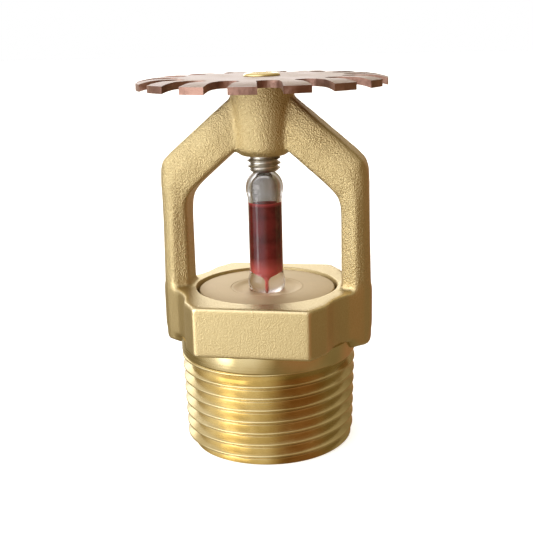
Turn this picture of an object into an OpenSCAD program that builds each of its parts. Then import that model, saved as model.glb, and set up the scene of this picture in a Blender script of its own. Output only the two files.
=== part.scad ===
// Glass-bulb fire sprinkler head, standing on its pipe thread.
// Origin: on the axis, at the inlet rim. +Z points from the inlet to the deflector,
// and the two frame arms stand in the XZ plane. All sizes are in millimetres.

/* [Pipe thread] */
// Thread diameter over the crests, at the inlet rim (3/4 inch taper thread)
thread_d = 25.85; // [20:0.05:32]
// Distance between two crests (14 to the inch)
thread_pitch = 1.814; // [1:0.001:2.5]
// Number of crests
thread_turns = 8; // [4:1:10]
// Depth of the thread
thread_depth = 1.16; // [0.6:0.01:1.3]
// Height of the bevel at the inlet rim
rim_bevel = 0.6; // [0.4:0.1:1.5]
// Plain neck between the thread and the wrench boss
neck_h = 1.5; // [0.8:0.1:4]

/* [Waterway] */
// Diameter of the passage at the inlet
inlet_d = 19.0; // [14:0.1:20.5]
// Length of the straight part of the inlet
inlet_h = 9.0; // [4:0.5:12]
// Diameter of the orifice that the cap shuts
orifice_d = 13.5; // [9:0.1:15]

/* [Wrench boss] */
// Height of the wrench flats
boss_h = 7.5; // [5:0.1:12]
// Length of each wrench flat
flat_len = 16.8; // [12:0.1:18]
// Wall between the cap's bore and a wrench flat
boss_wall = 2.75; // [1.5:0.05:5]
// How far the arm roots hang below the wrench flats
root_drop = 1.3; // [0.5:0.1:2.5]

/* [Arms] */
// Ledge between the cap's bore and an arm
arm_ledge = 0.85; // [0.4:0.05:2]
// Width of an upright arm, across the window
arm_w = 4.1; // [3:0.1:6]
// Thickness of an arm at its ridge
arm_t = 6.4; // [4:0.1:8]
// Width of the sloping part of an arm
slope_w = 6.2; // [4.5:0.1:7]
// Slope of the arms towards the hub, in degrees
slope_deg = 40.5; // [30:0.5:50]

/* [Hub] */
// Diameter of the hub
hub_d = 9.0; // [7.5:0.1:12]
// Height of the hub
hub_h = 10.2; // [8:0.1:14]
// Bevel at the hub's lower edge
hub_bevel = 0.8; // [0.2:0.1:1.5]
// Diameter of the riveted head above the deflector
rivet_d = 5.4; // [4.8:0.1:8]
// Height of the riveted head
rivet_h = 0.5; // [0.3:0.1:1]
// Thickness of the nose's wall around the key hole
nose_wall = 0.75; // [0.5:0.05:1.2]

/* [Deflector] */
// Outer diameter
deflector_d = 36.5; // [30:0.1:48]
// Thickness of the sheet
deflector_t = 1.0; // [0.6:0.05:1.5]
// Number of tines
tines = 16; // [8:1:20]
// Width of the slots at the rim
slot_w = 3.1; // [1.5:0.1:3.6]
// Length of the slots
slot_len = 6.6; // [4:0.1:8]
// Length of the bent tips
tip_len = 3.0; // [1:0.1:5]
// How far the tips bend down, in degrees
tip_deg = 14; // [0:1:35]
// Turn of the tine pattern about the axis, in degrees
tine_turn = 2.5; // [-11:0.5:11]

/* [Load screw] */
// Nominal diameter of the set screw (M5)
screw_d = 5.0; // [4:0.1:6]
// Thread pitch of the set screw
screw_pitch = 0.8; // [0.5:0.05:1]
// Length of the set screw
screw_len = 8.0; // [6:0.5:10]
// Length of the screw below the hub
screw_out = 2.65; // [1.5:0.05:4]
// Width across the flats of the key socket
key_af = 2.5; // [2:0.1:3]
// How far the screw can be backed out, in turns
screw_turns = 3; // [1:1:3]

/* [Bulb] */
// Diameter of the bulb's straight part
bulb_d = 5.06; // [4:0.02:6]
// Diameter of the rounded ends
bulb_end_d = 5.64; // [4.4:0.02:7]
// Length over all
bulb_len = 19.0; // [16:0.1:22]
// Thickness of the glass
bulb_wall = 0.66; // [0.4:0.02:1]
// Height of the fill above the bulb's lower end
fill_h = 14.1; // [8:0.1:15]

/* [Closure] */
// Diameter of the cap
cap_d = 20.6; // [16:0.1:22]
// Thickness of the cap's flange
cap_t = 2.0; // [1.6:0.1:3]
// How far the cap lies below the top of the boss
cap_sink = 0.3; // [0:0.05:0.5]
// Depth of the cap's plug in the orifice
plug_h = 2.6; // [1:0.1:4]
// Diameter of the bulb seat
seat_d = 11.0; // [8.5:0.1:12]
// Thickness of the bulb seat
seat_t = 1.5; // [1.3:0.1:1.6]
// Thickness of the sealing washer
washer_t = 0.5; // [0.3:0.05:0.8]
// Rise of the sealing washer's cone under load
washer_rise = 0.5; // [0.2:0.05:0.8]
// Thickness of each sealing film
film_t = 0.1; // [0.05:0.01:0.2]

/* [Fits] */
// Gap between the cap's edge and its bore
cap_gap = 0.45; // [0.2:0.05:0.6]
// Gap between the plug and the orifice or the washer
plug_gap = 0.45; // [0.2:0.05:0.6]
// Running clearance of the set screw, on the radius
screw_gap = 0.05; // [0.02:0.01:0.1]
// Gap between the bulb's tip and the screw's cup
bulb_gap = 0.05; // [0.02:0.01:0.1]
// Clearance of the key hole around the key, on the diameter
key_gap = 0.1; // [0.05:0.05:0.4]

/* [Hidden] */
$fn = 96;

// Colours
brass = [0.80, 0.67, 0.38];
machined_brass = [0.74, 0.66, 0.50];
copper = [0.72, 0.55, 0.48];
steel = [0.58, 0.57, 0.55];
glass_tint = [0.88, 0.92, 0.92, 0.45];
fill_red = [0.62, 0.03, 0.06];
nickel = [0.66, 0.66, 0.64];
film_white = [0.93, 0.93, 0.91];

// A little more than a cut's depth, so that cuts pass through both faces
over = 1;
// The thread grows 1 in 16 on the diameter away from the rim
taper = 1 / 32;
crest_w = thread_pitch * 0.12;
root_w = thread_pitch * 0.12;

// Heights, from the rim upwards
thread_h = rim_bevel + thread_turns * thread_pitch;
boss_z = thread_h + neck_h;
boss_top = boss_z + boss_h;
root_z = boss_z - root_drop;
cap_top = boss_top - cap_sink;
cap_under = cap_top - cap_t;
seal_h = washer_t + washer_rise + 2 * film_t + 0.02;
seal_z = cap_under - seal_h;
seat_z = cap_top - seat_t;
bulb_sink = 0.9;
bulb_z = cap_top - bulb_sink;
bulb_tip = bulb_z + bulb_len;
cup_depth = 0.4;
screw_z = bulb_tip + bulb_gap - cup_depth;
hub_z = screw_z + screw_out;
hub_top = hub_z + hub_h;
plate_top = hub_top + deflector_t;

// Radii
crest_r = thread_d / 2;
neck_r = crest_r + thread_h * taper;
cap_r = cap_d / 2;
bore_r = cap_r + cap_gap;
orifice_r = orifice_d / 2;
plug_r = orifice_r - plug_gap;
washer_r = orifice_r + 0.4;
hub_r = hub_d / 2;
screw_r = screw_d / 2;
hole_r = screw_r + screw_gap;
key_hole_r = (key_af / cos(30) + key_gap) / 2;
nose_r = key_hole_r + nose_wall;
bulb_r = bulb_d / 2;
bulb_end_r = bulb_end_d / 2;

// The screw's hole ends above the screw's highest place
hole_top = screw_z + screw_len + screw_turns * screw_pitch + 0.4;

// Wrench boss outline: two flats, a short side face, and a hollow that runs out into the arm
flat_y = bore_r + boss_wall;
flat_x = flat_len / 2;
side_x = flat_x + 2;
side_y = flat_y - 3.2;

// Arms
arm_in = bore_r + arm_ledge;
arm_out = arm_in + arm_w;
ridge_x = arm_in + 0.54 * arm_w;
ridge_y = arm_t / 2;
slope_top_z = hub_top - 1.8;
shoulder_z = slope_top_z - (arm_out - hub_r) * tan(slope_deg);
root_x = arm_out + 0.2;
// Side of the boss from the wrench flat to the tip of the arm's root
side = [
    [flat_x, flat_y], [side_x, side_y], [arm_in - 0.6, 0.57 * flat_y], [arm_in + 0.25, 0.44 * flat_y],
    [arm_in + 1.25, ridge_y + 1.1], [ridge_x + 0.1, ridge_y + 0.2], [arm_out - 0.5, 2.2], [root_x, 0.9]
];
function reversed(list) = [for (i = [len(list) - 1:-1:0]) list[i]];
half_outline = concat(side, [for (p = reversed(side)) [p[0], -p[1]]]);
boss_outline = concat(half_outline, [for (p = half_outline) [-p[0], -p[1]]]);
// Inner bend of the arm, and the slope of the mitre between its two parts
bend_z = shoulder_z + arm_w * tan(slope_deg) - slope_w / cos(slope_deg);
mitre = (shoulder_z - bend_z) / arm_w;
corner_cut = 1.0;
corner_fall = corner_cut + tan(slope_deg);

// Sum of the pitches below crest number i
function crest_z(i) = rim_bevel + i * thread_pitch;
function crest_at(z) = crest_r + z * taper;
// One turn of thread outline: a crest, its flank and a root
function turn_outline(i) = let (z = crest_z(i), r = crest_at(z)) [
    [r, z],
    [r, z + crest_w],
    [r - thread_depth, z + (thread_pitch + crest_w - root_w) / 2],
    [r - thread_depth, z + (thread_pitch + crest_w + root_w) / 2]
];
thread_outline = [for (i = [0:thread_turns - 1]) each turn_outline(i)];

// Points of an arc about [0, cz] in the half plane x > 0, from angle a to angle b
function arc(cz, r, a, b, n = 12) = [for (i = [0:n]) let (t = a + (b - a) * i / n)
    [r * cos(t), cz + r * sin(t)]];

// Bulb outline, measured from its lower end: both ends are rounded bulges
low_c = 0.61 * bulb_end_r;
high_c = bulb_len - bulb_end_r + 0.02;
waist = acos(bulb_r / bulb_end_r);
low_start = -asin(low_c / bulb_end_r) + 2;
tip_r = 1.25;
tip_angle = acos(tip_r / bulb_end_r);
bulb_outline = concat(
    [[0, 0]],
    [for (p = arc(low_c, bulb_end_r, low_start, waist)) [p[0], max(p[1], 0)]],
    arc(high_c, bulb_end_r, -waist, tip_angle),
    [[tip_r * 0.8, bulb_len - 0.15], [tip_r * 0.45, bulb_len], [0, bulb_len]]
);
// Cavity: a fine stem, a funnel, the straight part and a dome
core_r = bulb_r - bulb_wall;
stem_r = 0.28;
funnel_z = 2.3;
funnel_top = 3.9;
function cavity(top) = concat(
    [[0, 0.5], [stem_r, 0.6], [stem_r, funnel_z], [core_r * 0.8, funnel_top - 0.4]],
    [[core_r, funnel_top], [core_r, min(top, high_c)]],
    top > high_c ? arc(high_c, core_r, 5, 90, 8) : [[0, top]]
);

// ---------------------------------------------------------------- frame

module nipple() {
    rotate_extrude() polygon(concat(
        [[0, 0], [crest_r - rim_bevel * 0.9, 0]],
        thread_outline,
        [[neck_r, thread_h], [neck_r, boss_z], [0, boss_z]]
    ));
}

module boss() {
    translate([0, 0, boss_z - 0.01]) linear_extrude(boss_h + 0.01) polygon(boss_outline);
}

// The foot that carries an arm down the side of the boss, bevelled below
module arm_root() {
    intersection() {
        translate([0, 0, root_z]) linear_extrude(boss_top - root_z) polygon([
            [arm_in - 3, -ridge_y], [ridge_x + 0.1, -ridge_y - 0.2], [arm_out - 0.5, -2.2],
            [root_x, -0.9], [root_x, 0.9], [arm_out - 0.5, 2.2], [ridge_x + 0.1, ridge_y + 0.2],
            [arm_in - 3, ridge_y]
        ]);
        rotate_extrude() polygon([
            [0, root_z], [root_x - 1.4, root_z], [root_x + 0.2, root_z + 1.6],
            [root_x + 0.2, boss_top], [0, boss_top]
        ]);
    }
}

// Half of an arm's cross-section, over a width w measured from its inner face
function arm_section(w) = [
    [0, -0.7 * ridge_y], [0.5 * w, -ridge_y], [0.83 * w, -0.76 * ridge_y], [w, -0.32 * ridge_y],
    [w, 0.32 * ridge_y], [0.83 * w, 0.76 * ridge_y], [0.5 * w, ridge_y], [0, 0.7 * ridge_y]
];

// A slab through the object that is seen as the given outline from the front
module slab(points) {
    rotate([90, 0, 0]) translate([0, 0, -arm_t]) linear_extrude(2 * arm_t) polygon(points);
}

// Upright part of an arm, cut off at the mitre with the sloping part
module upright() {
    intersection() {
        translate([arm_in, 0, boss_top - over]) linear_extrude(shoulder_z) polygon(arm_section(arm_w));
        slab([[arm_in - 1, boss_top - over], [arm_in - 1, bend_z - mitre],
              [arm_out + 1, shoulder_z + mitre], [arm_out + 1, boss_top - over]]);
    }
}

// Sloping part of an arm, from the mitre into the hub
module slope() {
    run = (arm_out + 4) / cos(slope_deg);
    intersection() {
        translate([arm_out, 0, shoulder_z]) rotate([0, slope_deg - 90, 0])
            translate([-slope_w, 0, -4]) linear_extrude(run) polygon(arm_section(slope_w));
        slab([[1, hub_z + 1], [1, slope_top_z + 1.2], [arm_in, slope_top_z + 1.2],
              [arm_out + 1, shoulder_z + mitre], [arm_in - 1, bend_z - mitre],
              [arm_in - 2, bend_z - 2]]);
    }
}

// What is taken off the outer corner of the bend
module corner_bevel() {
    slab([[arm_out + 2, shoulder_z - corner_cut - 2 * corner_fall],
          [arm_out - 3, shoulder_z - corner_cut + 3 * corner_fall],
          [arm_out + 2, shoulder_z - corner_cut + 3 * corner_fall]]);
}

// Fillet in the inner bend of an arm
module bend_fillet() {
    slab_t = 1.4 * ridge_y;
    rotate([90, 0, 0]) translate([0, 0, -slab_t / 2]) linear_extrude(slab_t) polygon([
        [arm_in + 0.5, bend_z - 1.7], [arm_in, bend_z - 1.7], [arm_in - 0.3, bend_z - 0.75],
        [arm_in - 1.2, bend_z + 1.2 * tan(slope_deg)], [arm_in + 0.5, bend_z + 0.6]
    ]);
}

module hub() {
    translate([0, 0, hub_z]) rotate_extrude() polygon([
        [0, 0], [hub_r - hub_bevel, 0], [hub_r, hub_bevel], [hub_r, hub_h], [0, hub_h]
    ]);
}

// The nose passes through the deflector, and its end is spread over it
module nose() {
    translate([0, 0, hub_top - 0.01]) cylinder(r = nose_r, h = deflector_t + 0.02);
    translate([0, 0, plate_top]) rotate_extrude() polygon([
        [0, 0], [rivet_d / 2, 0], [rivet_d / 2, rivet_h * 0.4], [rivet_d / 2 - rivet_h * 0.6, rivet_h],
        [0, rivet_h]
    ]);
}

module waterway() {
    rotate_extrude() polygon([
        [0, -over], [inlet_d / 2, -over], [inlet_d / 2, inlet_h], [orifice_r, boss_z],
        [orifice_r, seal_z], [bore_r, seal_z], [bore_r, boss_top + over], [0, boss_top + over]
    ]);
}

module screw_hole() {
    translate([0, 0, hub_z - over]) cylinder(r = hole_r, h = hole_top - hub_z + over);
    cylinder(r = key_hole_r, h = plate_top + rivet_h + over);
}

module frame() {
    color(brass) difference() {
        union() {
            nipple();
            boss();
            for (side = [0, 180]) rotate([0, 0, side]) {
                arm_root();
                difference() {
                    union() {
                        upright();
                        slope();
                    }
                    corner_bevel();
                }
                bend_fillet();
            }
            hub();
            nose();
        }
        waterway();
        screw_hole();
    }
}

// ------------------------------------------------------------ deflector

module deflector() {
    plate_r = deflector_d / 2;
    bend_r = plate_r - tip_len;
    drop = tip_len * tan(tip_deg);
    color(copper) translate([0, 0, hub_top]) difference() {
        rotate_extrude() polygon([
            [nose_r, 0], [bend_r, 0], [plate_r, -drop], [plate_r, deflector_t - drop],
            [bend_r, deflector_t], [nose_r, deflector_t]
        ]);
        for (i = [0:tines - 1]) rotate([0, 0, tine_turn + (i + 0.5) * 360 / tines])
            translate([plate_r - slot_len + slot_w / 2, 0, -drop - over]) {
                cylinder(d = slot_w, h = drop + deflector_t + 2 * over, $fn = 32);
                translate([0, -slot_w / 2, 0])
                    cube([slot_len, slot_w, drop + deflector_t + 2 * over]);
            }
    }
}

// ----------------------------------------------------------- load screw

// One turn of the set screw's outline: crest, root
function screw_turn(i) = let (z = 0.5 + i * screw_pitch) [
    [screw_r - 0.45, z], [screw_r, z + screw_pitch * 0.4], [screw_r, z + screw_pitch * 0.6]
];

module load_screw() {
    turns = floor((screw_len - 0.9) / screw_pitch);
    color(steel) translate([0, 0, screw_z]) difference() {
        rotate_extrude() polygon(concat(
            [[0, 0], [screw_r - 0.75, 0]],
            [for (i = [0:turns - 1]) each screw_turn(i)],
            [[screw_r - 0.45, screw_len], [0, screw_len]]
        ));
        translate([0, 0, -over]) cylinder(r = tip_r + 0.35, h = over + 0.01);
        cylinder(r1 = tip_r + 0.35, r2 = tip_r * 0.45 + 0.2, h = cup_depth);
        translate([0, 0, screw_len - 3]) cylinder(d = key_af / cos(30), h = 3 + over, $fn = 6);
    }
}

// ----------------------------------------------------------------- bulb

module bulb_glass() {
    color(glass_tint) translate([0, 0, bulb_z]) difference() {
        rotate_extrude() polygon(bulb_outline);
        rotate_extrude() polygon(cavity(high_c + core_r));
    }
}

module bulb_fluid() {
    color(fill_red) translate([0, 0, bulb_z]) rotate_extrude() polygon(cavity(fill_h));
}

// -------------------------------------------------------------- closure

// Button with a shallow dish and a round pocket for the bulb's lower end
module bulb_seat() {
    seat_r = seat_d / 2;
    pocket_r = bulb_end_r + bulb_gap + 0.15;
    dish = 0.35;
    color(machined_brass) translate([0, 0, seat_z]) rotate_extrude() polygon([
        [0, 0], [seat_r, 0], [seat_r, seat_t], [seat_r - 0.5, seat_t],
        [pocket_r + 0.9, seat_t - dish], [pocket_r, seat_t - dish],
        [pocket_r, seat_t - bulb_sink], [0, seat_t - bulb_sink]
    ]);
}

// Flanged plug, with a recess on top for the bulb seat
module closure_cap() {
    seat_r = seat_d / 2;
    color(machined_brass) rotate_extrude() polygon([
        [0, seat_z], [0, cap_under - plug_h], [plug_r - 0.6, cap_under - plug_h],
        [plug_r, cap_under - plug_h + 0.6], [plug_r, cap_under], [cap_r, cap_under],
        [cap_r, cap_top - 0.15], [cap_r - 0.15, cap_top], [seat_r, cap_top], [seat_r, seat_z]
    ]);
}

// A thin cone between the plug and the cap's edge, from height z, t thick
module washer_cone(z, t) {
    outer_r = cap_r - 0.1;
    translate([0, 0, z]) rotate_extrude() polygon([
        [washer_r, 0], [outer_r, washer_rise], [outer_r, washer_rise + t], [washer_r, t]
    ]);
}

module sealing_spring() {
    color(nickel) washer_cone(seal_z + film_t, washer_t);
}

module seal_film_upper() {
    color(film_white) washer_cone(seal_z + film_t + washer_t, film_t);
}

module seal_film_lower() {
    color(film_white) washer_cone(seal_z, film_t);
}

frame();
deflector();
load_screw();
bulb_glass();
bulb_fluid();
bulb_seat();
closure_cap();
sealing_spring();
seal_film_upper();
seal_film_lower();
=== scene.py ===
"""Looks of the glass-bulb fire sprinkler head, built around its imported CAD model.

Pieces are shaped in millimetres and brought to metres when they are finished.
"""

import math

import bpy
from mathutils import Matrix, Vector


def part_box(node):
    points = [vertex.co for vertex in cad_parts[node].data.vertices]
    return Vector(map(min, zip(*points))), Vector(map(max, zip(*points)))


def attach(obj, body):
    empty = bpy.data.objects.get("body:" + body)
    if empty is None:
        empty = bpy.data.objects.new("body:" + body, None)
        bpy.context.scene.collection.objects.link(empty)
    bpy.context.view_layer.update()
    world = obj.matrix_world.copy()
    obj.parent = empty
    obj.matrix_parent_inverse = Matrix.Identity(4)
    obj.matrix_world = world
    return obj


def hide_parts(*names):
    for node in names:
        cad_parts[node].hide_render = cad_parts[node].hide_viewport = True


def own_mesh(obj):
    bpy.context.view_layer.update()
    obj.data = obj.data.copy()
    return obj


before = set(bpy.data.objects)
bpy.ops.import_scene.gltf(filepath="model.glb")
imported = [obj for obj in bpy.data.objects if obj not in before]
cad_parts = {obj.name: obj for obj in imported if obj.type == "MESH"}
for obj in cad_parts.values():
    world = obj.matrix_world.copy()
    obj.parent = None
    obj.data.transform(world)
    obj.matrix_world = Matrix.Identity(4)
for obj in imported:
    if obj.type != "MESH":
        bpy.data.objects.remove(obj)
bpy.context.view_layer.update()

MM = 0.001
FULL_TURN = 2 * math.pi

# Heights over the inlet rim and the plate's thickness, in millimetres
BOSS_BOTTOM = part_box("frame")[0].z / MM + 16.61
BOSS_TOP = 24.11
SEAT_FLOOR = 20.59
CAP_TOP = 23.81
CAP_UNDER = 21.81
BULB_FOOT = 22.91
HUB_TOP = 54.41
PLATE_T = 1.0
SCREW_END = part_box("load_screw")[0].z / MM

# Radii, and the pipe thread's pitch, depth and taper on the radius
THREAD_R = 12.925
TAPER = 1 / 32
PITCH = 1.814
THREAD_DEPTH = 1.16
BORE_R = 9.5
ORIFICE_R = 6.75
COUNTERBORE_R = 10.75
CAP_R = 10.3
KEY_HOLE_R = 1.49

# The front and back flats of the wrench boss: half their width, and their distance from the axis
BOSS_FLAT_X = 8.4
BOSS_FLAT_Y = 13.5


# ------------------------------------------------------------------ hand tools

def select_nothing():
    if bpy.context.object and bpy.context.object.mode != "OBJECT":
        bpy.ops.object.mode_set(mode="OBJECT")
    bpy.ops.object.select_all(action="DESELECT")


def work_on(piece):
    select_nothing()
    piece.select_set(True)
    bpy.context.view_layer.objects.active = piece


def apply_modifier(piece, kind, **settings):
    work_on(piece)
    modifier = piece.modifiers.new(kind.title(), kind)
    for name, value in settings.items():
        setattr(modifier, name, value)
    bpy.ops.object.modifier_apply(modifier=modifier.name)


def draw_line(name, points):
    """A chain of edges through the points, drawn by extruding one corner."""
    select_nothing()
    bpy.ops.mesh.primitive_plane_add(size=1)
    piece = bpy.context.object
    piece.name = name
    bpy.ops.object.mode_set(mode="EDIT")
    bpy.ops.mesh.select_all(action="SELECT")
    bpy.ops.mesh.merge(type="CENTER")
    bpy.ops.transform.translate(value=points[0])
    for before, after in zip(points, points[1:]):
        step = Vector(after) - Vector(before)
        bpy.ops.mesh.extrude_region_move(TRANSFORM_OT_translate={"value": step})
    return piece


def lathe(name, outline, steps=128):
    """Spins an outline of (radius, height) points about the axis."""
    piece = draw_line(name, [(r, 0, z) for r, z in outline])
    bpy.ops.mesh.select_all(action="SELECT")
    bpy.ops.mesh.spin(steps=steps, angle=FULL_TURN, center=(0, 0, 0), axis=(0, 0, 1))
    bpy.ops.mesh.select_all(action="SELECT")
    bpy.ops.mesh.remove_doubles(threshold=1e-4)
    bpy.ops.mesh.normals_make_consistent(inside=False)
    bpy.ops.object.mode_set(mode="OBJECT")
    return piece


def loft(name, sections):
    """A solid through closed sections, each a list of (x, y, z) with the same count."""
    piece = draw_line(name, sections[0])
    bpy.ops.mesh.select_all(action="SELECT")
    bpy.ops.mesh.edge_face_add()
    mesh = piece.data
    for before, after in zip(sections, sections[1:]):
        bpy.ops.mesh.extrude_region_move(TRANSFORM_OT_translate={"value": (0, 0, 0)})
        bpy.ops.object.mode_set(mode="OBJECT")
        corners = [Vector(p) for p in before]
        for vertex in mesh.vertices:
            if vertex.select:
                reach = [(corner - vertex.co).length for corner in corners]
                vertex.co = after[reach.index(min(reach))]
        bpy.ops.object.mode_set(mode="EDIT")
    bpy.ops.mesh.select_all(action="SELECT")
    bpy.ops.mesh.normals_make_consistent(inside=False)
    bpy.ops.object.mode_set(mode="OBJECT")
    return piece


def prism(name, outline, low, high):
    return loft(name, [[(x, y, low) for x, y in outline], [(x, y, high) for x, y in outline]])


def combine(piece, tool, operation):
    apply_modifier(piece, "BOOLEAN", object=tool, operation=operation, solver="EXACT")
    bpy.data.objects.remove(tool)


def join(pieces):
    work_on(pieces[0])
    for piece in pieces:
        piece.select_set(True)
    bpy.ops.object.join()
    return pieces[0]


def copy_of(piece, name):
    twin = piece.copy()
    twin.data = piece.data.copy()
    twin.name = name
    bpy.context.collection.objects.link(twin)
    return twin


def mirror_x(piece):
    work_on(piece)
    bpy.ops.object.mode_set(mode="EDIT")
    bpy.ops.mesh.select_all(action="SELECT")
    bpy.ops.transform.mirror(constraint_axis=(True, False, False), center_override=(0, 0, 0))
    bpy.ops.mesh.normals_make_consistent(inside=False)
    bpy.ops.object.mode_set(mode="OBJECT")


def finish_piece(piece, body, material, stands_for, smooth_angle=35):
    """Brings a piece to metres, shades it, and ties it to its body."""
    work_on(piece)
    piece.scale = (MM, MM, MM)
    bpy.ops.object.transform_apply(location=True, rotation=True, scale=True)
    bpy.ops.object.shade_smooth_by_angle(angle=math.radians(smooth_angle))
    piece.data.materials.clear()
    piece.data.materials.append(material)
    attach(piece, body)
    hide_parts(*stands_for)
    return piece


# -------------------------------------------------------------------- materials

def new_group(name, inputs, outputs):
    group = bpy.data.node_groups.new(name, "ShaderNodeTree")
    for label, kind, value in inputs:
        socket = group.interface.new_socket(label, in_out="INPUT", socket_type=kind)
        if value is not None:
            socket.default_value = value
    for label, kind in outputs:
        group.interface.new_socket(label, in_out="OUTPUT", socket_type=kind)
    return group


def add_node(tree, kind, **settings):
    node = tree.nodes.new(kind)
    for name, value in settings.items():
        setattr(node, name, value)
    return node


def object_place(tree):
    """Object coordinates, whole and split into X, Y and Z."""
    place = add_node(tree, "ShaderNodeTexCoord").outputs["Object"]
    split = add_node(tree, "ShaderNodeSeparateXYZ")
    tree.links.new(place, split.inputs[0])
    return place, split


def noise_node(tree, vector, scale, detail=4.0, roughness=0.55):
    node = add_node(tree, "ShaderNodeTexNoise")
    node.inputs["Scale"].default_value = scale
    node.inputs["Detail"].default_value = detail
    node.inputs["Roughness"].default_value = roughness
    tree.links.new(vector, node.inputs["Vector"])
    return node.outputs["Fac"]


def ramp_node(tree, value, low, high, to_low=0.0, to_high=1.0):
    node = add_node(tree, "ShaderNodeMapRange")
    tree.links.new(value, node.inputs["Value"])
    node.inputs["From Min"].default_value = low
    node.inputs["From Max"].default_value = high
    node.inputs["To Min"].default_value = to_low
    node.inputs["To Max"].default_value = to_high
    return node.outputs["Result"]


def math_node(tree, operation, first, second):
    node = add_node(tree, "ShaderNodeMath", operation=operation)
    for socket, value in zip(node.inputs, (first, second)):
        if isinstance(value, (int, float)):
            socket.default_value = value
        else:
            tree.links.new(value, socket)
    return node.outputs[0]


def mix_colours(tree, factor, first, second):
    node = add_node(tree, "ShaderNodeMix", data_type="RGBA")
    sockets = [node.inputs["Factor"], node.inputs[6], node.inputs[7]]
    for socket, value in zip(sockets, (factor, first, second)):
        if isinstance(value, (int, float)):
            socket.default_value = value
        elif isinstance(value, tuple):
            socket.default_value = (*value, 1.0)
        else:
            tree.links.new(value, socket)
    return node.outputs[2]


def build_grain_group():
    """Sandblasted skin: fine pits over waves that are drawn out upright."""
    group = new_group(
        "Blasted Grain",
        [("Grain Size", "NodeSocketFloat", 2600.0), ("Wave Size", "NodeSocketFloat", 420.0)],
        [("Height", "NodeSocketFloat"), ("Pits", "NodeSocketFloat"),
         ("Clouds", "NodeSocketFloat")],
    )
    entry = add_node(group, "NodeGroupInput")
    leave = add_node(group, "NodeGroupOutput")
    place = add_node(group, "ShaderNodeTexCoord").outputs["Object"]
    fine = add_node(group, "ShaderNodeTexNoise")
    fine.inputs["Detail"].default_value = 3.0
    fine.inputs["Roughness"].default_value = 0.6
    wave = add_node(group, "ShaderNodeTexNoise")
    wave.inputs["Detail"].default_value = 2.0
    drawn_out = add_node(group, "ShaderNodeVectorMath", operation="MULTIPLY")
    group.links.new(place, drawn_out.inputs[0])
    drawn_out.inputs[1].default_value = (1.0, 1.0, 0.3)
    group.links.new(place, fine.inputs["Vector"])
    group.links.new(drawn_out.outputs["Vector"], wave.inputs["Vector"])
    for node, label in ((fine, "Grain Size"), (wave, "Wave Size")):
        group.links.new(entry.outputs[label], node.inputs["Scale"])
    pits = ramp_node(group, fine.outputs["Fac"], 0.28, 0.70)
    height = math_node(group, "ADD", math_node(group, "MULTIPLY", pits, 0.75),
                       math_node(group, "MULTIPLY", wave.outputs["Fac"], 0.6))
    clouds = noise_node(group, place, 95.0, 3.0)
    group.links.new(height, leave.inputs["Height"])
    group.links.new(pits, leave.inputs["Pits"])
    group.links.new(ramp_node(group, clouds, 0.35, 0.65), leave.inputs["Clouds"])
    return group


def build_edge_group():
    """Mask of the outer edges, where handling has brightened the metal; the same mask carries a painted edge
    highlight.
    """
    group = new_group(
        "Worn and Highlit Edges",
        [("Low", "NodeSocketFloat", 0.52), ("High", "NodeSocketFloat", 0.60)],
        [("Edge", "NodeSocketFloat")],
    )
    entry = add_node(group, "NodeGroupInput")
    leave = add_node(group, "NodeGroupOutput")
    shape = add_node(group, "ShaderNodeNewGeometry").outputs["Pointiness"]
    node = add_node(group, "ShaderNodeMapRange")
    group.links.new(shape, node.inputs["Value"])
    group.links.new(entry.outputs["Low"], node.inputs["From Min"])
    group.links.new(entry.outputs["High"], node.inputs["From Max"])
    group.links.new(node.outputs["Result"], leave.inputs["Edge"])
    return group


GRAIN = build_grain_group()
EDGES = build_edge_group()


def new_material(name, metallic, **sockets):
    material = bpy.data.materials.new(name)
    material.use_nodes = True
    tree = material.node_tree
    shader = tree.nodes["Principled BSDF"]
    shader.inputs["Metallic"].default_value = metallic
    for label, value in sockets.items():
        shader.inputs[label.replace("_", " ")].default_value = value
    return material, tree, shader


def add_bump(tree, shader, height, strength, distance):
    bump = add_node(tree, "ShaderNodeBump")
    bump.inputs["Strength"].default_value = strength
    bump.inputs["Distance"].default_value = distance
    tree.links.new(height, bump.inputs["Height"])
    tree.links.new(bump.outputs["Normal"], shader.inputs["Normal"])


def use_group(tree, group, **values):
    node = add_node(tree, "ShaderNodeGroup", node_tree=group)
    for label, value in values.items():
        node.inputs[label.replace("_", " ")].default_value = value
    return node


def make_forged_brass():
    material, tree, shader = new_material("forged brass, sandblasted", 1.0)
    grain = use_group(tree, GRAIN, Grain_Size=4600.0, Wave_Size=3000.0)
    edges = use_group(tree, EDGES, Low=0.515, High=0.56)
    split = object_place(tree)[1]
    on_boss = ramp_node(tree, split.outputs["Z"], (BOSS_TOP + 1) * MM, (BOSS_TOP + 3) * MM, 1.0, 0.0)
    edge = math_node(tree, "MULTIPLY", edges.outputs["Edge"], on_boss)
    base = mix_colours(tree, grain.outputs["Clouds"], (0.60, 0.485, 0.26), (0.655, 0.54, 0.30))
    pitted = mix_colours(tree, grain.outputs["Pits"], (0.57, 0.45, 0.23), base)
    # Worn edges, made whiter than wear alone as a painted highlight along the boss edges
    worn_edge_highlight = mix_colours(tree, edge, pitted, (0.93, 0.81, 0.54))
    tree.links.new(worn_edge_highlight, shader.inputs["Base Color"])
    rough = ramp_node(tree, grain.outputs["Pits"], 0.0, 1.0, 0.42, 0.33)
    polish = math_node(tree, "MULTIPLY", edge, 0.10)
    worn_rough = math_node(tree, "SUBTRACT", rough, polish)
    tree.links.new(worn_rough, shader.inputs["Roughness"])
    over_boss = ramp_node(tree, split.outputs["Z"], BOSS_TOP * MM, (BOSS_TOP + 2) * MM, 0.33, 1.15)
    relief = math_node(tree, "MULTIPLY", grain.outputs["Height"], over_boss)
    add_bump(tree, shader, relief, 0.8, 0.00012)
    return material


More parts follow.
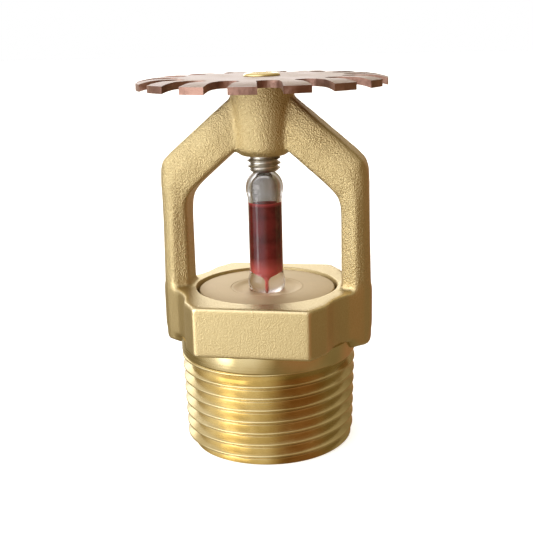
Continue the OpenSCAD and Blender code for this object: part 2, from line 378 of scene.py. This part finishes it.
def make_turned_metal(name, colour, dark, rough, rings, ring_height):
    """Metal with fine rings about the axis, as a lathe leaves them."""
    material, tree, shader = new_material(name, 1.0)
    place, split = object_place(tree)
    square_x = math_node(tree, "MULTIPLY", split.outputs["X"], split.outputs["X"])
    square_y = math_node(tree, "MULTIPLY", split.outputs["Y"], split.outputs["Y"])
    square = math_node(tree, "ADD", square_x, square_y)
    radius = math_node(tree, "POWER", square, 0.5)
    along = math_node(tree, "ADD", radius, split.outputs["Z"])
    line = add_node(tree, "ShaderNodeCombineXYZ")
    tree.links.new(along, line.inputs["X"])
    cut_marks = noise_node(tree, line.outputs[0], rings, 2.0, 0.7)
    clouds = noise_node(tree, place, 160.0, 4.0)
    tint = mix_colours(tree, ramp_node(tree, clouds, 0.35, 0.7), dark, colour)
    tree.links.new(tint, shader.inputs["Base Color"])
    ringed = ramp_node(tree, cut_marks, 0.3, 0.7, rough - 0.05, rough + 0.06)
    uneven = math_node(tree, "ADD", ringed, ramp_node(tree, clouds, 0.3, 0.7, -0.03, 0.05))
    tree.links.new(uneven, shader.inputs["Roughness"])
    add_bump(tree, shader, cut_marks, 0.35, ring_height)
    return material


def make_copper():
    """Upward faces are pale and the other faces dark, as painted light on the top and painted shade on the
    sides; the bevels around the top are redder.
    """
    material, tree, shader = new_material("copper sheet, matt", 1.0)
    grain = use_group(tree, GRAIN, Grain_Size=1900.0, Wave_Size=500.0)
    place = add_node(tree, "ShaderNodeTexCoord").outputs["Object"]
    bloom = ramp_node(tree, noise_node(tree, place, 230.0, 6.0, 0.62), 0.40, 0.62)
    # Painted light by facing: the pale colour is a painted highlight on upward faces, the dark one painted
    # shade on the sides
    painted_lit_top = mix_colours(tree, bloom, (0.355, 0.27, 0.245), (0.52, 0.44, 0.40))
    painted_shaded_side = mix_colours(tree, bloom, (0.24, 0.135, 0.105), (0.42, 0.26, 0.21))
    split = add_node(tree, "ShaderNodeSeparateXYZ")
    tree.links.new(add_node(tree, "ShaderNodeTexCoord").outputs["Normal"], split.inputs[0])
    looks_up = ramp_node(tree, split.outputs["Z"], 0.4, 0.85)
    top_bevel_band = math_node(tree, "MULTIPLY", ramp_node(tree, split.outputs["Z"], 0.35, 0.6),
                     ramp_node(tree, split.outputs["Z"], 0.95, 0.7))
    sheet = mix_colours(tree, looks_up, painted_shaded_side, painted_lit_top)
    tree.links.new(mix_colours(tree, top_bevel_band, sheet, (0.52, 0.32, 0.26)), shader.inputs["Base Color"])
    tree.links.new(ramp_node(tree, bloom, 0.0, 1.0, 0.40, 0.56), shader.inputs["Roughness"])
    add_bump(tree, shader, grain.outputs["Height"], 0.5, 0.00010)
    return material


def make_screw_steel():
    material, tree, shader = new_material("set screw steel", 1.0)
    place = add_node(tree, "ShaderNodeTexCoord").outputs["Object"]
    clouds = ramp_node(tree, noise_node(tree, place, 900.0, 4.0), 0.35, 0.68)
    tint = mix_colours(tree, clouds, (0.46, 0.43, 0.39), (0.66, 0.64, 0.59))
    tree.links.new(tint, shader.inputs["Base Color"])
    tree.links.new(ramp_node(tree, clouds, 0.0, 1.0, 0.42, 0.28), shader.inputs["Roughness"])
    add_bump(tree, shader, clouds, 0.15, 0.00005)
    return material


def make_glass():
    """Clear, with painted shade turning it grey towards the top of the fill, and a little cloudy at the
    foot.
    """
    material, tree, shader = new_material("bulb glass", 0.0, Transmission_Weight=1.0, IOR=1.47)
    place, split = object_place(tree)
    streak = noise_node(tree, place, 300.0, 2.0)
    # Painted shade: the glass greys towards the top of the fill
    head = ramp_node(tree, split.outputs["Z"], 34.0 * MM, 37.5 * MM)
    tint = mix_colours(tree, head, (0.92, 0.87, 0.85), (0.38, 0.37, 0.37))
    faint = math_node(tree, "MULTIPLY", streak, 0.3)
    tree.links.new(mix_colours(tree, faint, tint, (0.95, 0.95, 0.95)), shader.inputs["Base Color"])
    foot = ramp_node(tree, split.outputs["Z"], 24.6 * MM, 26.0 * MM, 0.22, 0.0)
    drawn = ramp_node(tree, streak, 0.3, 0.7, 0.0, 0.03)
    tree.links.new(math_node(tree, "ADD", foot, drawn), shader.inputs["Roughness"])
    return material


def make_fill():
    """Red fill: dark in the column, with painted light brightening its thin taper and a painted highlight
    around its surface.
    """
    material, tree, shader = new_material("red bulb fill", 0.0, Specular_IOR_Level=0.0)
    place, split = object_place(tree)
    # Painted light: the thin taper at the foot is painted bright red, as if lit through
    depth = ramp_node(tree, split.outputs["Z"], 26.0 * MM, 28.6 * MM)
    swirl = ramp_node(tree, noise_node(tree, place, 420.0, 3.0), 0.35, 0.7)
    core = mix_colours(tree, swirl, (0.12, 0.008, 0.011), (0.27, 0.022, 0.024))
    column = mix_colours(tree, depth, (0.95, 0.17, 0.15), core)
    # Painted highlight: a brighter red band at the top surface of the fill
    painted_meniscus_highlight = ramp_node(tree, split.outputs["Z"], 36.35 * MM, 36.8 * MM)
    topped = mix_colours(tree, painted_meniscus_highlight, column, (0.80, 0.09, 0.10))
    tree.links.new(topped, shader.inputs["Base Color"])
    tree.links.new(ramp_node(tree, swirl, 0.0, 1.0, 0.18, 0.30), shader.inputs["Roughness"])
    return material


def make_film():
    material, tree, shader = new_material("sealing film", 0.0)
    place = add_node(tree, "ShaderNodeTexCoord").outputs["Object"]
    clouds = noise_node(tree, place, 500.0, 3.0)
    tint = mix_colours(tree, clouds, (0.82, 0.82, 0.79), (0.93, 0.93, 0.91))
    tree.links.new(tint, shader.inputs["Base Color"])
    tree.links.new(ramp_node(tree, clouds, 0.3, 0.7, 0.42, 0.55), shader.inputs["Roughness"])
    return material


forged_brass = make_forged_brass()
thread_brass = make_turned_metal("thread brass, turned",
                                 (0.72, 0.61, 0.36), (0.57, 0.455, 0.225),
                                 0.20, 3200.0, 0.00002)
closure_brass = make_turned_metal("closure brass, faced",
                                  (0.74, 0.615, 0.425), (0.66, 0.54, 0.36),
                                  0.62, 4200.0, 0.000015)
nose_brass = make_turned_metal("nose brass, spun",
                               (0.88, 0.74, 0.42), (0.78, 0.62, 0.30),
                               0.20, 3000.0, 0.00002)
copper = make_copper()
screw_steel = make_screw_steel()
spring_metal = make_turned_metal("spring alloy, rolled",
                                 (0.62, 0.61, 0.58), (0.52, 0.51, 0.48),
                                 0.30, 2500.0, 0.00001)
glass = make_glass()
fill = make_fill()
film = make_film()


# ----------------------------------------------------------------- the casting

def arm_section(inner, outer, depths):
    """Closed section between an inner and an outer point of the arm's side view."""
    shares = (0.0, 0.14, 0.54, 0.84, 1.0)
    front, back = [], []
    for share, depth in zip(shares, depths):
        x = inner[0] + (outer[0] - inner[0]) * share
        z = inner[1] + (outer[1] - inner[1]) * share
        front.append((x, -depth, z))
        back.append((x, depth, z))
    return front + back[::-1]


# Half depths of an arm's section, from its inner face to its outer edge
UPRIGHT = (2.25, 2.5, 3.3, 2.35, 0.95)
LOW_ELBOW = (2.4, 2.65, 3.3, 2.5, 1.15)
ELBOW = (2.65, 2.9, 3.35, 2.75, 1.6)
BEND = (2.9, 3.1, 3.35, 3.05, 2.6)
SLOPE = (2.9, 3.05, 3.1, 2.7, 2.3)
AT_HUB = (2.6, 2.7, 2.6, 2.1, 1.7)
# Inner point, outer point and half depths at each station, from the boss to the hub
ARM_STATIONS = [
    ((11.6, 15.6), (15.9, 15.6), UPRIGHT),
    ((11.6, 24.0), (15.87, 24.0), UPRIGHT),
    ((11.6, 31.0), (15.70, 31.0), UPRIGHT),
    ((11.6, 34.0), (15.64, 34.6), UPRIGHT),
    ((11.6, 35.6), (15.60, 37.4), LOW_ELBOW),
    ((11.55, 36.7), (15.55, 40.0), ELBOW),
    ((11.3, 37.8), (15.45, 42.1), ELBOW),
    ((10.7, 38.75), (14.95, 43.3), BEND),
    ((9.9, 39.6), (13.9, 44.4), BEND),
    ((8.0, 41.3), (11.4, 46.6), SLOPE),
    ((5.6, 43.4), (8.0, 49.5), SLOPE),
    ((3.2, 45.5), (4.6, 52.4), AT_HUB),
    ((1.0, 47.0), (1.0, 53.2), AT_HUB),
]


def make_casting():
    side = [(BOSS_FLAT_X, -BOSS_FLAT_Y), (10.4, -10.3), (11.0, -7.7), (11.85, -5.9), (12.85, -4.4),
            (13.9, -3.5), (15.2, -2.35), (15.9, -0.95)]
    right = side + [(x, -y) for x, y in side[::-1]]
    boss = prism("brass_casting", right + [(-x, -y) for x, y in right], BOSS_BOTTOM, BOSS_TOP)

    nose = [(13.2, -3.8), (13.9, -3.5), (15.2, -2.4), (16.05, -0.95)]
    root_outline = [(9.0, -3.8)] + nose + [(x, -y) for x, y in nose[::-1]] + [(9.0, 3.8)]
    narrowing = ((13.8, 0.5), (14.7, 0.62), (15.6, 0.80), (16.4, 0.93), (17.4, 1.0), (BOSS_TOP, 1.0))
    root = loft("arm_root", [[(x, y * share, z) for x, y in root_outline] for z, share in narrowing])
    envelope = lathe("root_envelope", [
        (0, 15.15), (13.6, 15.15), (14.4, 15.5), (15.15, 16.1), (15.65, 16.85), (15.95, 17.6), (16.05, 18.4),
        (16.05, 25.0), (0, 25.0)])
    combine(root, envelope, "INTERSECT")
    arm = loft("arm", [arm_section(*station) for station in ARM_STATIONS])
    right_half = [root, arm]
    left_half = []
    for piece in right_half:
        twin = copy_of(piece, piece.name + "_left")
        mirror_x(twin)
        left_half.append(twin)
    hub = lathe("hub", [
        (0, 43.9), (3.2, 43.9), (4.2, 44.7), (4.35, 45.3), (4.7, 54.4), (0, 54.4)], 96)

    casting = join([boss] + right_half + left_half + [hub])
    apply_modifier(casting, "REMESH", mode="VOXEL", voxel_size=0.3)
    apply_modifier(casting, "SMOOTH", factor=0.5, iterations=11)

    # The machined bores: cap seat, waterway, screw hole
    edge_r = COUNTERBORE_R + 0.2
    bores = lathe("bore_cutter", [
        (0, 10.0), (11.9, 10.0), (11.9, 14.0), (ORIFICE_R, 16.6), (ORIFICE_R, SEAT_FLOOR),
        (COUNTERBORE_R, SEAT_FLOOR), (COUNTERBORE_R, BOSS_TOP - 0.14), (edge_r, BOSS_TOP + 0.1),
        (edge_r, 26.0), (0, 26.0)], 160)
    combine(casting, bores, "DIFFERENCE")
    screw_hole = lathe("screw_cutter", [
        (0, 43.0), (2.9, 43.0), (2.9, 43.9), (2.56, 44.25), (2.56, 52.36), (KEY_HOLE_R, 52.36),
        (KEY_HOLE_R, 55.5), (0, 55.5)], 64)
    combine(casting, screw_hole, "DIFFERENCE")
    return casting


def make_nose():
    """The end of the hub, spread over the deflector."""
    top = HUB_TOP + PLATE_T
    foot = HUB_TOP - 0.3
    return lathe("riveted_nose", [
        (KEY_HOLE_R, foot), (2.24, foot), (2.24, top - 0.02), (2.62, top - 0.02), (2.7, top + 0.08),
        (2.66, top + 0.24), (2.5, top + 0.38), (2.25, top + 0.47), (2.0, top + 0.48),
        (1.75, top + 0.40), (1.56, top + 0.2), (KEY_HOLE_R, top - 0.05), (KEY_HOLE_R, foot)], 96)


# -------------------------------------------------------------- the pipe thread

def wind_thread(name, ridge, pitch, turns, steps, top):
    """Winds a ridge up the axis, and trims it flat at nought and at top."""
    thread = draw_line(name, ridge)
    bpy.ops.object.mode_set(mode="OBJECT")
    apply_modifier(thread, "SCREW", angle=FULL_TURN, screw_offset=pitch, iterations=turns, steps=steps,
                   render_steps=steps, use_merge_vertices=False)
    work_on(thread)
    bpy.ops.object.mode_set(mode="EDIT")
    bpy.ops.mesh.select_all(action="SELECT")
    bpy.ops.mesh.remove_doubles(threshold=1e-3)
    bpy.ops.mesh.bisect(plane_co=(0, 0, 0), plane_no=(0, 0, 1), clear_inner=True, use_fill=True)
    bpy.ops.mesh.select_all(action="SELECT")
    bpy.ops.mesh.bisect(plane_co=(0, 0, top), plane_no=(0, 0, 1), clear_outer=True, use_fill=True)
    bpy.ops.mesh.select_all(action="SELECT")
    bpy.ops.mesh.normals_make_consistent(inside=False)
    bpy.ops.object.mode_set(mode="OBJECT")
    return thread


def thread_ridge(start):
    crest, root = THREAD_R, THREAD_R - THREAD_DEPTH
    shape = [(crest - 0.10, 0.0), (crest - 0.03, 0.05), (crest, 0.11), (crest, 0.17), (crest - 0.03, 0.23),
             (crest - 0.10, 0.28), (root + 0.08, 0.90), (root, 0.98), (root, 1.08), (root + 0.08, 1.16),
             (crest - 0.10, PITCH)]
    return [(r, 0, z + start) for r, z in shape]


def make_pipe_thread():
    nipple = wind_thread("pipe_thread", thread_ridge(-2 * PITCH), PITCH, 11, 160, 15.5)
    for vertex in nipple.data.vertices:
        swell = 1 + vertex.co.z * TAPER / THREAD_R
        vertex.co.x *= swell
        vertex.co.y *= swell
    rim = lathe("rim_envelope", [
        (0, 0), (12.25, 0), (12.42, 0.12), (13.05, 0.75), (13.6, 2.0), (14.0, 14.0), (14.0, 15.4),
        (0, 15.4)], 160)
    combine(nipple, rim, "INTERSECT")
    neck_top = BOSS_BOTTOM + 0.25
    neck = lathe("neck", [
        (0, 11.6), (11.9, 12.4), (13.30, 14.35), (13.38, 14.6), (13.38, neck_top), (0, neck_top)], 160)
    combine(nipple, neck, "UNION")
    mouth_r = BORE_R + 0.4
    waterway = lathe("waterway", [
        (0, -1), (mouth_r, -1), (mouth_r, 0.0), (BORE_R, 0.4), (BORE_R, 9.0),
        (ORIFICE_R, BOSS_BOTTOM), (ORIFICE_R, 18.0), (0, 18.0)], 128)
    combine(nipple, waterway, "DIFFERENCE")
    return nipple


# ---------------------------------------------------------------- the deflector

TINES = 16
TINE_TURN = math.radians(2.5)
SLOT_HALF = 1.55
SLOT_ROOT = 12.0
SLOT_FLARE = 0.15
PAST_RIM = 20.0
BEND_START = 15.2
# A tine drops by this much times the square of the distance past the bend
TINE_CURVE = 0.051


def make_deflector():
    """A disc, punched with slots, with the tips of its tines pressed down."""
    radii = (2.3, 6, 9, 11.5, 14, BEND_START, 15.8, 16.4, 17.0, 17.6, 18.2)
    plate = lathe("copper_deflector", [(r, 0) for r in radii], 288)
    apply_modifier(plate, "SOLIDIFY", thickness=PLATE_T, offset=-1)
    slots = []
    for i in range(TINES):
        turn = TINE_TURN + (i + 0.5) * FULL_TURN / TINES
        arc = [(SLOT_ROOT + SLOT_HALF - SLOT_HALF * math.cos(a), SLOT_HALF * math.sin(a))
               for a in [math.radians(d) for d in range(-90, 91, 15)]]
        mouth = SLOT_HALF + SLOT_FLARE
        outline = [(PAST_RIM, -mouth)] + arc + [(PAST_RIM, mouth)]
        turned = [(x * math.cos(turn) - y * math.sin(turn), x * math.sin(turn) + y * math.cos(turn))
                  for x, y in outline]
        slots.append(prism(f"slot_{i}", turned, -3, 3))
    combine(plate, join(slots), "DIFFERENCE")
    mesh = plate.data
    top = max(v.co.z for v in mesh.vertices)
    for vertex in mesh.vertices:
        bent = max(0.0, math.hypot(vertex.co.x, vertex.co.y) - BEND_START)
        vertex.co.z += HUB_TOP + PLATE_T - top - TINE_CURVE * bent * bent
    apply_modifier(plate, "BEVEL", width=0.17, segments=3, limit_method="ANGLE",
                   angle_limit=math.radians(50))
    return plate


# --------------------------------------------------------------- the load screw

SCREW_LENGTH = 8.0
KEY_CORNER_R = 1.443


def make_load_screw():
    crest, root, pitch = 2.5, 2.02, 0.8
    shape = [(root, 0.0), (root, 0.08), (crest - 0.04, 0.36), (crest, 0.40), (crest - 0.04, 0.46),
             (root, 0.74), (root, pitch)]
    ridge = [(r, 0, z - 2 * pitch) for r, z in shape]
    screw = wind_thread("load_screw_m5", ridge, pitch, 14, 64, SCREW_LENGTH)
    ends = lathe("screw_envelope", [
        (0, 0), (1.85, 0), (2.6, 0.6), (2.6, 7.5), (2.1, SCREW_LENGTH), (0, SCREW_LENGTH)], 64)
    combine(screw, ends, "INTERSECT")
    cup = lathe("cup_cutter", [(0, -0.5), (1.7, -0.5), (1.6, 0), (0.76, 0.4), (0, 0.4)], 48)
    combine(screw, cup, "DIFFERENCE")
    turns = [i * FULL_TURN / 6 for i in range(6)]
    key = [(KEY_CORNER_R * math.cos(a), KEY_CORNER_R * math.sin(a)) for a in turns]
    combine(screw, prism("key_cutter", key, 5.0, 9.0), "DIFFERENCE")
    for vertex in screw.data.vertices:
        vertex.co.z += SCREW_END
    return screw


# --------------------------------------------------------------------- the bulb

BULB_R = 2.53
BULGE_R = 2.82
BULB_LENGTH = 19.0
LOW_CENTRE = 1.72
HIGH_CENTRE = BULB_LENGTH - 2.8
CORE_R = 1.87
STEM_R = 0.17
FILL_TOP = 14.1
# The fill reaches this far into the glass, so that no air shows between them
FILL_OVERLAP = 0.015


def arc_points(centre, radius, start, end, count):
    angles = [start + (end - start) * i / count for i in range(count + 1)]
    return [(radius * math.cos(a), centre + radius * math.sin(a)) for a in angles]


def bulb_outline():
    waist = math.acos(BULB_R / BULGE_R)
    foot = -math.asin(LOW_CENTRE / BULGE_R) + 0.04
    ball = arc_points(LOW_CENTRE, BULGE_R, foot, waist - 0.12, 12)
    low = [(0, 0), (1.6, 0.0)] + [(r, max(z, 0.03)) for r, z in ball]
    high = arc_points(HIGH_CENTRE, BULGE_R, -waist + 0.12, math.acos(1.25 / BULGE_R), 14)
    neck_low = [(BULB_R + 0.05, LOW_CENTRE + 1.45), (BULB_R, LOW_CENTRE + 1.9)]
    neck_high = [(BULB_R, HIGH_CENTRE - 1.9), (BULB_R + 0.05, HIGH_CENTRE - 1.45)]
    straight = [(BULB_R, LOW_CENTRE + 1.9 + i * 1.5) for i in range(1, 7)]
    tip = [(1.05, BULB_LENGTH - 0.2), (0.75, BULB_LENGTH - 0.06), (0.4, BULB_LENGTH), (0, BULB_LENGTH)]
    return low + neck_low + straight + neck_high + high + tip


def cavity_outline(top, swell=0.0):
    """The hollow up to a height, rounded off if it reaches the upper ball."""
    core = CORE_R + swell
    stem = STEM_R + swell * 0.5
    rise = [(0, 0.5 - swell), (stem, 0.62), (stem, 1.7), (stem * 2.2, 2.3), (core * 0.55, 2.75),
            (core * 0.86, 3.15), (core, 3.7)]
    straight = [(core, 3.7 + (min(top, HIGH_CENTRE) - 3.7) * i / 6) for i in range(1, 7)]
    if top > HIGH_CENTRE:
        dome = arc_points(HIGH_CENTRE, core, 0.1, math.pi / 2 - 0.05, 8)
        return rise + straight + dome + [(0, HIGH_CENTRE + core)]
    surface = [(core, top - 0.1), (core * 0.9, top - 0.28), (core * 0.5, top - 0.36), (0, top - 0.38)]
    return rise + straight[:-1] + surface


def raise_by(piece, height):
    work_on(piece)
    bpy.ops.object.mode_set(mode="EDIT")
    bpy.ops.mesh.select_all(action="SELECT")
    bpy.ops.transform.translate(value=(0, 0, height))
    bpy.ops.object.mode_set(mode="OBJECT")
    return piece


def make_bulb():
    """Thick glass with a fine stem at its foot and a gas bubble above the fill."""
    body = lathe("glass_bulb", bulb_outline(), 96)
    combine(body, lathe("cavity", cavity_outline(BULB_LENGTH), 96), "DIFFERENCE")
    return raise_by(body, BULB_FOOT)


def make_fill_column():
    return raise_by(lathe("red_fill", cavity_outline(FILL_TOP, FILL_OVERLAP), 96), BULB_FOOT)


# ------------------------------------------------------------------ the closure

def make_cap():
    """A disc with a plug below it, hollowed above for the button."""
    return lathe("closure_disc", [
        (0, CAP_TOP - 1.5), (0, 17.0), (5.7, 17.0), (6.1, 17.15), (6.3, 17.5), (6.3, CAP_UNDER),
        (CAP_R - 0.1, CAP_UNDER), (CAP_R, CAP_UNDER + 0.1), (CAP_R, CAP_TOP - 0.2),
        (CAP_R - 0.06, CAP_TOP - 0.06), (CAP_R - 0.2, CAP_TOP), (5.56, CAP_TOP), (5.5, CAP_TOP - 0.05),
        (5.5, CAP_TOP - 1.5), (0, CAP_TOP - 1.5)], 160)


def make_seat():
    """A button with a dished rim and a pocket that follows the foot of the bulb."""
    top = CAP_TOP
    return lathe("bulb_button", [
        (0, top - 1.5), (5.46, top - 1.5), (5.485, top - 0.07), (5.44, top - 0.02), (5.2, top - 0.03),
        (4.95, top - 0.08), (4.6, top - 0.22), (4.1, top - 0.33), (3.6, top - 0.36), (2.64, top - 0.38),
        (2.58, top - 0.46), (2.50, top - 0.58), (2.41, top - 0.72), (2.30, top - 0.9), (0, top - 0.9)], 128)


# ------------------------------------------------------------- the spring seal

SEAL_INNER_R = 7.15
SEAL_OUTER_R = CAP_R - 0.1
SEAL_RISE = 0.5
SPRING_T = 0.5
FILM_T = 0.1


def make_cone_washer(name, foot, thickness):
    """A dished washer, with its inner edge low and its outer edge high."""
    rim = foot + SEAL_RISE
    return lathe(name, [
        (SEAL_INNER_R, foot), (SEAL_OUTER_R, rim), (SEAL_OUTER_R, rim + thickness),
        (SEAL_INNER_R, foot + thickness), (SEAL_INNER_R, foot)])


# ------------------------------------------------------------- put it together

finish_piece(make_casting(), "head", forged_brass, ["frame"], 40)
finish_piece(make_pipe_thread(), "head", thread_brass, ["frame"], 38)
finish_piece(make_nose(), "head", nose_brass, ["frame"])
finish_piece(make_deflector(), "head", copper, ["deflector"])
finish_piece(make_load_screw(), "screw", screw_steel, ["load_screw"])
finish_piece(make_bulb(), "closure", glass, ["bulb_glass"], 60)
finish_piece(make_fill_column(), "closure", fill, ["bulb_fluid"], 60)
finish_piece(make_cap(), "closure", closure_brass, ["closure_cap"])
finish_piece(make_seat(), "closure", closure_brass, ["bulb_seat"])

seal_layers = (
    ("lower_film", "seal_film_lower", SEAT_FLOOR, FILM_T, "ptfe", film),
    ("cone_spring", "sealing_spring", SEAT_FLOOR + FILM_T, SPRING_T, "nickel", spring_metal),
    ("upper_film", "seal_film_upper", SEAT_FLOOR + FILM_T + SPRING_T, FILM_T, "ptfe", film),
)
layers = [finish_piece(make_cone_washer(name, foot, thickness), "head", material, [node])
          for name, node, foot, thickness, slot, material in seal_layers]
for layer in layers:
    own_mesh(layer)


# ------------------------------------------------------ floor, lights and camera

LIGHT_AIM = Vector((0, 0, 0.03))


def make_floor():
    """Pale paper under the sprinkler; only the camera sees it, so the metal does not reflect it."""
    select_nothing()
    bpy.ops.mesh.primitive_plane_add(size=4.0, location=(0, 0, 0))
    floor = bpy.context.object
    floor.name = "floor"
    floor.visible_diffuse = floor.visible_glossy = floor.visible_transmission = False
    material, tree, shader = new_material("floor paper", 0.0, Roughness=0.9, Emission_Strength=0.7)
    shader.inputs["Emission Color"].default_value = (1, 1, 1, 1)
    place = add_node(tree, "ShaderNodeTexCoord").outputs["Object"]
    tint = mix_colours(tree, noise_node(tree, place, 8.0), (0.86, 0.86, 0.86), (0.88, 0.88, 0.88))
    tree.links.new(tint, shader.inputs["Base Color"])
    floor.data.materials.append(material)


def make_light(name, place, size, power):
    light = bpy.data.lights.new(name, "AREA")
    light.shape = "RECTANGLE"
    light.size, light.size_y = size
    light.energy = power
    lamp = bpy.data.objects.new(name, light)
    lamp.location = place
    lamp.rotation_euler = (LIGHT_AIM - Vector(place)).to_track_quat("-Z", "Y").to_euler()
    bpy.context.collection.objects.link(lamp)


def make_camera():
    """Stands close, a little to the right of the front, and looks down on the boss."""
    turn, distance, height = math.radians(10.42), 0.1375, 0.062
    pitch, roll = math.radians(14.32), math.radians(1.46)
    camera_data = bpy.data.cameras.new("camera")
    camera_data.sensor_width = 36.0
    camera_data.lens = 62.9
    camera_data.clip_start = 0.005
    camera = bpy.data.objects.new("camera", camera_data)
    camera.location = (distance * math.sin(turn), -distance * math.cos(turn), height)
    level = math.cos(pitch)
    ahead = Vector((-math.sin(turn) * level, math.cos(turn) * level, -math.sin(pitch)))
    stance = ahead.to_track_quat("-Z", "Y").to_matrix().to_4x4()
    stance.translation = camera.location
    camera.matrix_world = stance
    camera.rotation_euler.rotate_axis("Z", -roll)
    bpy.context.collection.objects.link(camera)
    bpy.context.scene.camera = camera


# Directions towards what the metal reflects
WINDOW = (-0.61, -0.775, 0.16)
LAMP = (-0.71, -0.62, -0.33)
CEILING = (-0.50, 0.10, 0.86)
BACK_WALL = (-0.34, 0.93, 0.10)
WARM_RIGHT = (0.80, -0.60, -0.10)
WARM_BEHIND = (0.42, 0.87, -0.26)
ROOM_LIGHT = 0.28


def toward(tree, direction):
    """How closely a ray points in a direction: 1 along it, 0 square to it."""
    node = add_node(tree, "ShaderNodeVectorMath", operation="DOT_PRODUCT")
    tree.links.new(add_node(tree, "ShaderNodeTexCoord").outputs["Generated"], node.inputs[0])
    node.inputs[1].default_value = direction
    return node.outputs["Value"]


def make_world():
    """White to the camera; in the metal, bright at the front left and dark and warm at the right."""
    world = bpy.data.worlds.new("studio")
    world.use_nodes = True
    tree = world.node_tree
    backdrop = tree.nodes["Background"]
    backdrop.inputs["Color"].default_value = (1, 1, 1, 1)
    backdrop.inputs["Strength"].default_value = 1.0
    room = add_node(tree, "ShaderNodeBackground")
    window = ramp_node(tree, toward(tree, WINDOW), 0.38, 0.85, 0.0, 1.13)
    lamp = ramp_node(tree, toward(tree, LAMP), 0.974, 0.994, 0.0, 3.3)
    ceiling = ramp_node(tree, toward(tree, CEILING), 0.15, 0.8, 0.0, 0.60)
    wall = ramp_node(tree, toward(tree, BACK_WALL), 0.80, 1.0, 0.0, 0.82)
    warmth = math_node(tree, "MAXIMUM", ramp_node(tree, toward(tree, WARM_RIGHT), 0.70, 0.97),
                       ramp_node(tree, toward(tree, WARM_BEHIND), 0.80, 0.97))
    front = math_node(tree, "ADD", window, lamp)
    bright = math_node(tree, "ADD", front, math_node(tree, "ADD", ceiling, wall))
    glow = math_node(tree, "MULTIPLY", warmth, 0.13)
    strength = math_node(tree, "ADD", glow, math_node(tree, "ADD", bright, ROOM_LIGHT))
    tree.links.new(strength, room.inputs["Strength"])
    shade = mix_colours(tree, warmth, (1.0, 0.80, 0.43), (1.0, 0.54, 0.28))
    tint = mix_colours(tree, math_node(tree, "MINIMUM", bright, 1.0), shade, (1.0, 0.99, 0.98))
    tree.links.new(tint, room.inputs["Color"])
    choose = add_node(tree, "ShaderNodeMixShader")
    tree.links.new(add_node(tree, "ShaderNodeLightPath").outputs["Is Camera Ray"], choose.inputs["Fac"])
    tree.links.new(room.outputs[0], choose.inputs[1])
    tree.links.new(backdrop.outputs[0], choose.inputs[2])
    tree.links.new(choose.outputs[0], tree.nodes["World Output"].inputs["Surface"])
    bpy.context.scene.world = world


make_floor()
make_light("key", (-0.36, -0.38, 0.10), (0.40, 0.24), 0.9)
make_light("back", (-0.22, 0.46, 0.20), (0.50, 0.20), 0.40)
make_camera()
bpy.context.scene.view_settings.view_transform = "Standard"
make_world()
